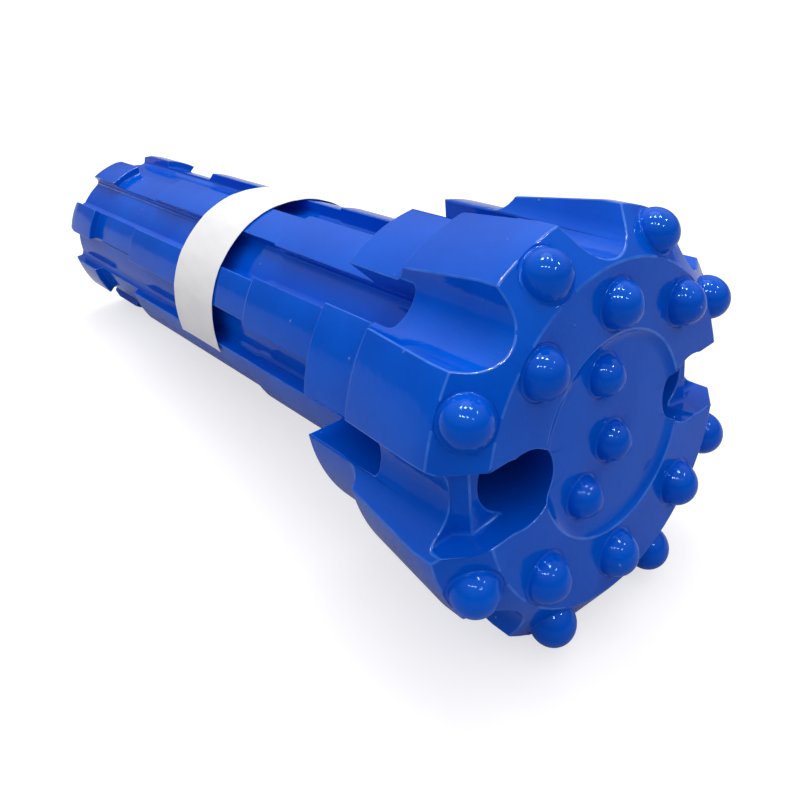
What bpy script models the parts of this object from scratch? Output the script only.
"""Button drill bit for a down-the-hole hammer, laid on its side as it rests.

The bit is modelled along its own axis: x = 0 is the flat ring of the cutting
face, the shank runs towards minus x, and the two flushing channels point along
plus and minus y. At the end every piece is turned by the lying angle, which is
worked out from the sizes, and moved so the origin is at the middle of the
bottom of the whole object. All lengths are in metres, angles in degrees.
"""
import bpy
import bmesh
import math
from mathutils import Matrix, Vector

# cutting face and wings; every length along the bit is a positive run of its own
GAUGE_EDGE_RADIUS = 0.0644    # where the bevel meets the wing outside
BEVEL_SHARE = 0.5901          # width of the bevel, as a share of the head's height over the splines
RECESS_SHARE = 0.604          # radius of the dished middle, as a share of the flat ring's edge
RECESS_SLOPE = 0.0034         # width of the sloping wall of the dished middle
RECESS_DEPTH = 0.0017
BEVEL_ANGLE = 35.0            # gauge bevel, measured from the face
WING_BAND_LENGTH = 0.0068     # short cylinder behind the gauge edge
WING_BACK_SHARE = 0.1757      # taper of the wings, as a share of the head's height over the splines
WING_LENGTH = 0.0470          # from the face to the back edge of the wings
RAMP_SHARE = 1.384            # run of the hollow ramp down to the collar, as a share of its drop

# collar and shank
COLLAR_SHARE = 0.4099         # drop from the gauge edge to the collar, as a share of that height
COLLAR_LENGTH = 0.0211
COLLAR_CHAMFER = 0.0009
SPLINE_RADIUS = 0.0422
SPLINE_LENGTH = 0.0607        # full height part of the splines
SPLINE_DROP = 0.0011          # the rest of each spline is lower by this much
SPLINE_TAPER = 0.0032
NECK_DROP = 0.0048            # turned neck for the retaining rings
NECK_SLOPE = 0.0045
NECK_LENGTH = 0.0512
LUG_LENGTH = 0.0320           # lugs behind the neck, up to the tail end
LUG_TAPER_LENGTH = 0.0093
LUG_TAPER_DROP = 0.0015
TAIL_EDGE = 0.0010
BIT_LENGTH = 0.3300           # from the flat ring of the face to the tail end

# eight splines, wings and grooves share one pitch
COUNT = 8
PITCH = 360.0 / COUNT
GROOVE_DEPTH = 0.0071         # from the full height splines down to the core
GROOVE_HALF = 0.0070
GROOVE_HALF_LOW = 0.0081      # grooves are wider along the lower splines
GROOVE_FOOT = 0.0012          # fillet at the foot of each groove wall
POCKET_AHEAD = 0.0130         # each groove runs this far past the foot of the ramp
POCKET_CORNER = 0.0016

# round bottomed flutes between the wings
FLUTE_SHARE = 0.1848          # bottom radius of the flutes, as a share of the gauge edge
FLUTE_SPLAY = 58.0            # arc either side of the bottom before it runs straight
SHALLOW_FLUTE = 0.4279        # flute depth, as a share of the head's height over the splines
DEEP_FLUTE = 0.5405           # the four flutes in line with and across the channels

# flushing
CHANNEL_HALF = 0.0119
CHANNEL_DEPTH = 0.0090
CHANNEL_LIP_INSET = 0.0026    # the channel floor steps down this far inside the flat ring's edge
CHANNEL_STEP = 0.0035
CHANNEL_BACK = 0.0020         # the channel starts this far inside the flushing hole's axis
FLUSH_RADIUS = 0.0110
FLUSH_ANGLE = 25.0
FLUSH_INSET = 0.0133          # from the flat ring's edge in to the hole axis, at the face
BORE_RADIUS = 0.0140
BORE_END = 0.0700             # solid length between the face and the end of the bore
BORE_TIP = 0.0040
VALVE_SEAT_RADIUS = 0.0175
VALVE_SEAT_LENGTH = 0.0450
BORE_CHAMFER = 0.0012

# buttons
BUTTON_SHARE = 0.1087         # radius of the gauge and face buttons, as a share of the gauge edge
GAUGE_INSET_SHARE = 0.9143    # from the gauge edge in to the button centre, as a share of its radius
GAUGE_ANGLES = (24.7, 66.6)   # from the channels, repeated in each quarter
# share of the flat ring's edge radius, and angle
FACE_PLACES = ((0.844, 45.0), (0.772, 90.0), (0.844, 135.0),
               (0.844, 225.0), (0.772, 270.0), (0.844, 315.0))
CENTRE_BUTTON_SHARE = 0.0932
# share of the dished middle's radius, and angle
CENTRE_PLACES = ((0.635, 101.0), (0.074, 255.0), (0.632, 228.0))
BUTTON_STAND = 0.0001         # straight part showing above the steel
BUTTON_LENGTH = 0.0115        # straight part below the steel
BUTTON_CHAMFER = 0.0006
SEAT_GAP = 0.0003
SEAT_RIM = 0.0009             # shallow step around each button
SEAT_RIM_DEPTH = 0.0005

# printed paper label across the splines
LABEL_BEHIND = 0.0229         # from the start of the lower splines to the label
LABEL_WIDTH = 0.0338
LABEL_CLEAR = 0.0003
LABEL_THICK = 0.0003
LABEL_FROM = 21.0
LABEL_TO = 197.0

BODY_SEGMENTS = 96
HOLE_SEGMENTS = 32
BUTTON_SEGMENTS = 20
DOME_RINGS = 5
LABEL_STEPS = 36

# places that follow from the sizes, along the bit axis and out from it
head_height = GAUGE_EDGE_RADIUS - SPLINE_RADIUS
face_radius = GAUGE_EDGE_RADIUS - head_height * BEVEL_SHARE
recess_radius = face_radius * RECESS_SHARE
flush_face_r = face_radius - FLUSH_INSET
wing_back_radius = GAUGE_EDGE_RADIUS - head_height * WING_BACK_SHARE
collar_radius = GAUGE_EDGE_RADIUS - head_height * COLLAR_SHARE
ramp_drop = wing_back_radius - collar_radius
ramp_run = ramp_drop * RAMP_SHARE
wing_back_x = -WING_LENGTH
collar_front_x = wing_back_x - ramp_run
collar_back_x = collar_front_x - COLLAR_LENGTH
spline_end_x = collar_back_x - SPLINE_LENGTH
low_start_x = spline_end_x - SPLINE_TAPER
tail_x = -BIT_LENGTH
lug_front_x = tail_x + LUG_LENGTH
neck_front_x = lug_front_x + NECK_LENGTH
pocket_x = collar_front_x + POCKET_AHEAD
low_radius = SPLINE_RADIUS - SPLINE_DROP
neck_radius = SPLINE_RADIUS - NECK_DROP
core_radius = SPLINE_RADIUS - GROOVE_DEPTH
flute_radius = GAUGE_EDGE_RADIUS * FLUTE_SHARE
shallow_flute = GAUGE_EDGE_RADIUS - head_height * SHALLOW_FLUTE
deep_flute = GAUGE_EDGE_RADIUS - head_height * DEEP_FLUTE
button_radius = GAUGE_EDGE_RADIUS * BUTTON_SHARE
centre_button_radius = GAUGE_EDGE_RADIUS * CENTRE_BUTTON_SHARE
gauge_circle = GAUGE_EDGE_RADIUS - button_radius * GAUGE_INSET_SHARE
clear_of_head = GAUGE_EDGE_RADIUS * 1.16
cut_past = button_radius * 1.4
channel_start = flush_face_r - CHANNEL_BACK
channel_lip = face_radius - CHANNEL_LIP_INSET
label_front_x = low_start_x - LABEL_BEHIND
label_back_x = label_front_x - LABEL_WIDTH

for old in list(bpy.data.objects):
    bpy.data.objects.remove(old, do_unlink=True)


def make_material(name, colour, roughness, metallic):
    mat = bpy.data.materials.new(name)
    mat.use_nodes = True
    shader = mat.node_tree.nodes["Principled BSDF"]
    shader.inputs["Base Color"].default_value = (*colour, 1.0)
    shader.inputs["Roughness"].default_value = roughness
    shader.inputs["Metallic"].default_value = metallic
    mat.diffuse_color = (*colour, 1.0)
    return mat


blue_paint = make_material("blue_gloss_paint", (0.004, 0.085, 0.48), 0.22, 0.0)
white_paper = make_material("white_paper", (0.88, 0.87, 0.86), 0.75, 0.0)


def new_object(name, bm, mat, smooth=True):
    bmesh.ops.remove_doubles(bm, verts=bm.verts, dist=1e-6)
    bmesh.ops.recalc_face_normals(bm, faces=bm.faces)
    mesh = bpy.data.meshes.new(name)
    bm.to_mesh(mesh)
    bm.free()
    mesh.materials.append(mat)
    obj = bpy.data.objects.new(name, mesh)
    bpy.context.scene.collection.objects.link(obj)
    if smooth:
        for poly in mesh.polygons:
            poly.use_smooth = True
        mesh.set_sharp_from_angle(angle=math.radians(28.0))
    return obj


def revolve(bm, profile, segments, place=None):
    """Turn a list of (x, r) points about the x axis into a closed solid."""
    rings = []
    for x, r in profile:
        if r < 1e-9:
            rings.append([bm.verts.new((x, 0.0, 0.0))])
        else:
            ring = []
            for i in range(segments):
                a = 2.0 * math.pi * i / segments
                ring.append(bm.verts.new((x, r * math.cos(a), r * math.sin(a))))
            rings.append(ring)
    made = []
    for first, second in zip(rings, rings[1:]):
        for i in range(segments):
            j = (i + 1) % segments
            if len(first) == 1:
                made.append(bm.faces.new((first[0], second[i], second[j])))
            elif len(second) == 1:
                made.append(bm.faces.new((first[i], second[0], first[j])))
            else:
                made.append(bm.faces.new((first[i], second[i], second[j], first[j])))
    if place is not None:
        verts = [v for ring in rings for v in ring]
        bmesh.ops.transform(bm, matrix=place, verts=verts)
    return made


def turn(angle):
    """Rotation about the bit axis, from plus y towards plus z."""
    return Matrix.Rotation(math.radians(angle), 4, 'X')


def loft(bm, sections, place):
    """Join closed outlines of equal length into a capped solid."""
    rows = []
    for section in sections:
        rows.append([bm.verts.new(place @ Vector(p)) for p in section])
    count = len(rows[0])
    for first, second in zip(rows, rows[1:]):
        for i in range(count):
            j = (i + 1) % count
            bm.faces.new((first[i], first[j], second[j], second[i]))
    bm.faces.new(rows[0])
    bm.faces.new(list(reversed(rows[-1])))


def cut(target, cutter, name):
    mod = target.modifiers.new(name, 'BOOLEAN')
    mod.operation = 'DIFFERENCE'
    mod.solver = 'EXACT'
    mod.object = cutter
    cutter.hide_render = True
    cutter.display_type = 'WIRE'


# turned outline of the body
gauge_edge_x = -(GAUGE_EDGE_RADIUS - face_radius) * math.tan(math.radians(BEVEL_ANGLE))
ramp_radius = (ramp_drop ** 2 + ramp_run ** 2) / (2.0 * ramp_drop)
ramp_start = math.atan2(ramp_drop - ramp_radius, ramp_run)
outline = [(-RECESS_DEPTH, 0.0),
           (-RECESS_DEPTH, recess_radius - RECESS_SLOPE),
           (-RECESS_DEPTH * 0.6, recess_radius - RECESS_SLOPE * 0.2),
           (0.0, recess_radius),
           (0.0, face_radius),
           (gauge_edge_x, GAUGE_EDGE_RADIUS),
           (gauge_edge_x - WING_BAND_LENGTH, GAUGE_EDGE_RADIUS)]
for step in range(6):
    a = ramp_start + (-math.pi / 2.0 - ramp_start) * step / 5.0
    outline.append((collar_front_x + ramp_radius * math.cos(a),
                    collar_radius + ramp_radius + ramp_radius * math.sin(a)))
foot = COLLAR_CHAMFER
outline += [(collar_back_x + COLLAR_CHAMFER, collar_radius),
            (collar_back_x, collar_radius - COLLAR_CHAMFER),
            (collar_back_x, SPLINE_RADIUS + foot),
            (collar_back_x - foot * 0.3, SPLINE_RADIUS + foot * 0.3),
            (collar_back_x - foot, SPLINE_RADIUS),
            (spline_end_x, SPLINE_RADIUS),
            (low_start_x, low_radius),
            (neck_front_x, low_radius),
            (neck_front_x - NECK_SLOPE, neck_radius),
            (lug_front_x + foot, neck_radius),
            (lug_front_x + foot * 0.3, neck_radius + foot * 0.3),
            (lug_front_x, neck_radius + foot),
            (lug_front_x, low_radius - foot),
            (lug_front_x - foot, low_radius),
            (tail_x + LUG_TAPER_LENGTH, low_radius),
            (tail_x + TAIL_EDGE, low_radius - LUG_TAPER_DROP),
            (tail_x, low_radius - LUG_TAPER_DROP - TAIL_EDGE),
            (tail_x, 0.0)]
bm = bmesh.new()
revolve(bm, outline, BODY_SEGMENTS)
body = new_object("bit_body", bm, blue_paint)

# spline grooves, running from the tail through the collar into square pockets

def groove_section(x, half):
    foot = half - GROOVE_FOOT
    points = [(x, -half, clear_of_head), (x, -half, core_radius + GROOVE_FOOT),
              (x, -half + GROOVE_FOOT * 0.3, core_radius + GROOVE_FOOT * 0.3)]
    for k in range(5):
        t = foot * (k / 2.0 - 1.0)
        points.append((x, t, math.sqrt(core_radius ** 2 - t * t)))
    points += [(x, half - GROOVE_FOOT * 0.3, core_radius + GROOVE_FOOT * 0.3),
               (x, half, core_radius + GROOVE_FOOT), (x, half, clear_of_head)]
    return points


bm = bmesh.new()
for k in range(COUNT):
    sections = [groove_section(pocket_x, GROOVE_HALF - POCKET_CORNER),
                groove_section(pocket_x - POCKET_CORNER * 0.3, GROOVE_HALF - POCKET_CORNER * 0.3),
                groove_section(pocket_x - POCKET_CORNER, GROOVE_HALF),
                groove_section(spline_end_x, GROOVE_HALF),
                groove_section(low_start_x, GROOVE_HALF_LOW),
                groove_section(tail_x - cut_past, GROOVE_HALF_LOW)]
    loft(bm, sections, turn(PITCH * k - 90.0))
grooves = new_object("cut_grooves", bm, blue_paint, False)
cut(body, grooves, "grooves")


# flutes: round bottom, then straight sides that lean outwards
def flute_section(x, bottom):
    centre = bottom + flute_radius
    splay = math.radians(FLUTE_SPLAY)
    side = flute_radius * math.sin(splay)
    side_r = centre - flute_radius * math.cos(splay)
    reach = (clear_of_head - side_r) / math.tan(splay)
    points = [(x, -side - reach, clear_of_head)]
    for k in range(11):
        a = splay * (k / 5.0 - 1.0)
        points.append((x, flute_radius * math.sin(a), centre - flute_radius * math.cos(a)))
    points.append((x, side + reach, clear_of_head))
    return points


bm = bmesh.new()
for k in range(COUNT):
    bottom = deep_flute if k % 2 == 0 else shallow_flute
    loft(bm, [flute_section(cut_past, bottom), flute_section(collar_back_x - ramp_run, bottom)],
         turn(PITCH * k - 90.0))
flutes = new_object("cut_flutes", bm, blue_paint, False)
cut(body, flutes, "flutes")

# face channels running out of the flushing holes into the two channel flutes
bm = bmesh.new()
for angle in (0.0, 180.0):
    floor_line = [(cut_past, channel_start), (cut_past, clear_of_head),
                  (-CHANNEL_DEPTH - CHANNEL_STEP, clear_of_head),
                  (-CHANNEL_DEPTH - CHANNEL_STEP, channel_lip + CHANNEL_STEP),
                  (-CHANNEL_DEPTH, channel_lip), (-CHANNEL_DEPTH, channel_start)]
    loft(bm, [[(x, -CHANNEL_HALF, r) for x, r in floor_line],
              [(x, CHANNEL_HALF, r) for x, r in floor_line]], turn(angle - 90.0))
channels = new_object("cut_channels", bm, blue_paint, False)
cut(body, channels, "channels")

# central air bore from the tail, cut before the holes that open into it
bm = bmesh.new()
valve_seat_x = tail_x + VALVE_SEAT_LENGTH
mouth_radius = VALVE_SEAT_RADIUS + BORE_CHAMFER * 2.0
revolve(bm, [(-BORE_END, 0.0), (-BORE_END - BORE_TIP, BORE_RADIUS),
             (valve_seat_x + BORE_TIP * 0.5, BORE_RADIUS),
             (valve_seat_x, VALVE_SEAT_RADIUS),
             (tail_x + BORE_CHAMFER, VALVE_SEAT_RADIUS), (tail_x - BORE_CHAMFER, mouth_radius),
             (tail_x - cut_past, mouth_radius), (tail_x - cut_past, 0.0)], HOLE_SEGMENTS)
bore = new_object("cut_bore", bm, blue_paint, False)
cut(body, bore, "bore")

# flushing holes lean outwards from the central bore to the face
slope = math.radians(FLUSH_ANGLE)
for index, angle in enumerate((0.0, 180.0)):
    bm = bmesh.new()
    hole_length = flush_face_r / math.sin(slope)
    axis_turn = Matrix.Rotation(slope, 4, 'Z')
    meet = Matrix.Translation((-flush_face_r / math.tan(slope), 0.0, 0.0))
    revolve(bm, [(0.0, 0.0), (0.0, FLUSH_RADIUS), (hole_length + FLUSH_RADIUS * 2.0, FLUSH_RADIUS),
                 (hole_length + FLUSH_RADIUS * 2.0, 0.0)], HOLE_SEGMENTS,
            turn(angle) @ meet @ axis_turn)
    hole = new_object("cut_flush_%d" % (index + 1), bm, blue_paint, False)
    cut(body, hole, "flush_%d" % (index + 1))



# button seats and buttons; each place is a matrix whose x axis points out of the steel
def gauge_place(angle):
    lean = math.radians(BEVEL_ANGLE)
    x = -(gauge_circle - face_radius) * math.tan(lean)
    return turn(angle) @ Matrix.Translation((x, gauge_circle, 0.0)) @ Matrix.Rotation(lean, 4, 'Z')


def face_place(radius, angle, x):
    return turn(angle) @ Matrix.Translation((x, radius, 0.0))


places = []
gauge_angles = []
for quarter in (0.0, 180.0):
    gauge_angles += [quarter + GAUGE_ANGLES[0], quarter + GAUGE_ANGLES[1],
                     quarter + 180.0 - GAUGE_ANGLES[1], quarter + 180.0 - GAUGE_ANGLES[0]]
for k, angle in enumerate(gauge_angles):
    places.append(("gauge_button_%d" % (k + 1), gauge_place(angle), button_radius))
for k, (share, angle) in enumerate(FACE_PLACES):
    places.append(("face_button_%d" % (k + 1), face_place(face_radius * share, angle, 0.0),
                   button_radius))
for k, (share, angle) in enumerate(CENTRE_PLACES):
    places.append(("centre_button_%d" % (k + 1), face_place(recess_radius * share, angle, -RECESS_DEPTH),
                   centre_button_radius))

bm = bmesh.new()
for name, place, radius in places:
    seat = radius + SEAT_GAP
    revolve(bm, [(radius * 0.9, 0.0), (radius * 0.9, seat + SEAT_RIM), (-SEAT_RIM_DEPTH, seat + SEAT_RIM),
                 (-SEAT_RIM_DEPTH, seat), (-BUTTON_LENGTH - SEAT_GAP, seat),
                 (-BUTTON_LENGTH - SEAT_GAP, 0.0)], BUTTON_SEGMENTS, place)
seats = new_object("cut_seats", bm, blue_paint, False)
cut(body, seats, "seats")

# keep the cut body as one plain mesh and drop the cutters
bpy.context.view_layer.update()
graph = bpy.context.evaluated_depsgraph_get()
finished = bpy.data.meshes.new_from_object(body.evaluated_get(graph))
body.modifiers.clear()
body.data = finished
for poly in finished.polygons:
    poly.use_smooth = True
finished.set_sharp_from_angle(angle=math.radians(28.0))
for cutter in [o for o in bpy.data.objects if o.name.startswith("cut_")]:
    bpy.data.objects.remove(cutter, do_unlink=True)

pieces = [body]
for name, place, radius in places:
    bm = bmesh.new()
    outline = [(-BUTTON_LENGTH, 0.0), (-BUTTON_LENGTH, radius - BUTTON_CHAMFER),
               (-BUTTON_LENGTH + BUTTON_CHAMFER, radius)]
    for step in range(DOME_RINGS):
        a = math.pi / 2.0 * step / DOME_RINGS
        outline.append((BUTTON_STAND + radius * math.sin(a), radius * math.cos(a)))
    outline.append((BUTTON_STAND + radius, 0.0))
    revolve(bm, outline, BUTTON_SEGMENTS, place)
    pieces.append(new_object(name, bm, blue_paint))

# paper label, a thin curved strip lying over the splines
bm = bmesh.new()
inner = low_radius + LABEL_CLEAR
outer = inner + LABEL_THICK
sections = []
for k in range(LABEL_STEPS + 1):
    a = math.radians(LABEL_FROM + (LABEL_TO - LABEL_FROM) * k / LABEL_STEPS)
    c = math.cos(a)
    s = math.sin(a)
    sections.append([(label_front_x, inner * c, inner * s), (label_front_x, outer * c, outer * s),
                     (label_back_x, outer * c, outer * s), (label_back_x, inner * c, inner * s)])
loft(bm, sections, Matrix.Identity(4))
pieces.append(new_object("paper_label", bm, white_paper))

# lying pose: two wing edges and two tail lugs touch the ground on either side of a flute
flute_splay = math.radians(FLUTE_SPLAY)
lean = 1.0 / math.tan(flute_splay)
side_r = deep_flute + flute_radius * (1.0 - math.cos(flute_splay))
side_t = flute_radius * math.sin(flute_splay) - lean * side_r
wing_low = (math.sqrt((side_t * lean) ** 2 - (1.0 + lean ** 2) * (side_t ** 2 - GAUGE_EDGE_RADIUS ** 2))
            - side_t * lean) / (1.0 + lean ** 2)
lug_low = math.sqrt(low_radius ** 2 - GROOVE_HALF_LOW ** 2)
wing_x = gauge_edge_x - WING_BAND_LENGTH
lie = math.atan2(wing_low - lug_low, wing_x - tail_x - LUG_TAPER_LENGTH)
pose = Matrix.Rotation(-lie, 4, 'Y')
for obj in pieces:
    obj.data.transform(pose)
points = [v.co for obj in pieces for v in obj.data.vertices]
middle_x = (min(p.x for p in points) + max(p.x for p in points)) / 2.0
middle_y = (min(p.y for p in points) + max(p.y for p in points)) / 2.0
move = Matrix.Translation((-middle_x, -middle_y, -min(p.z for p in points)))
for obj in pieces:
    obj.data.transform(move)
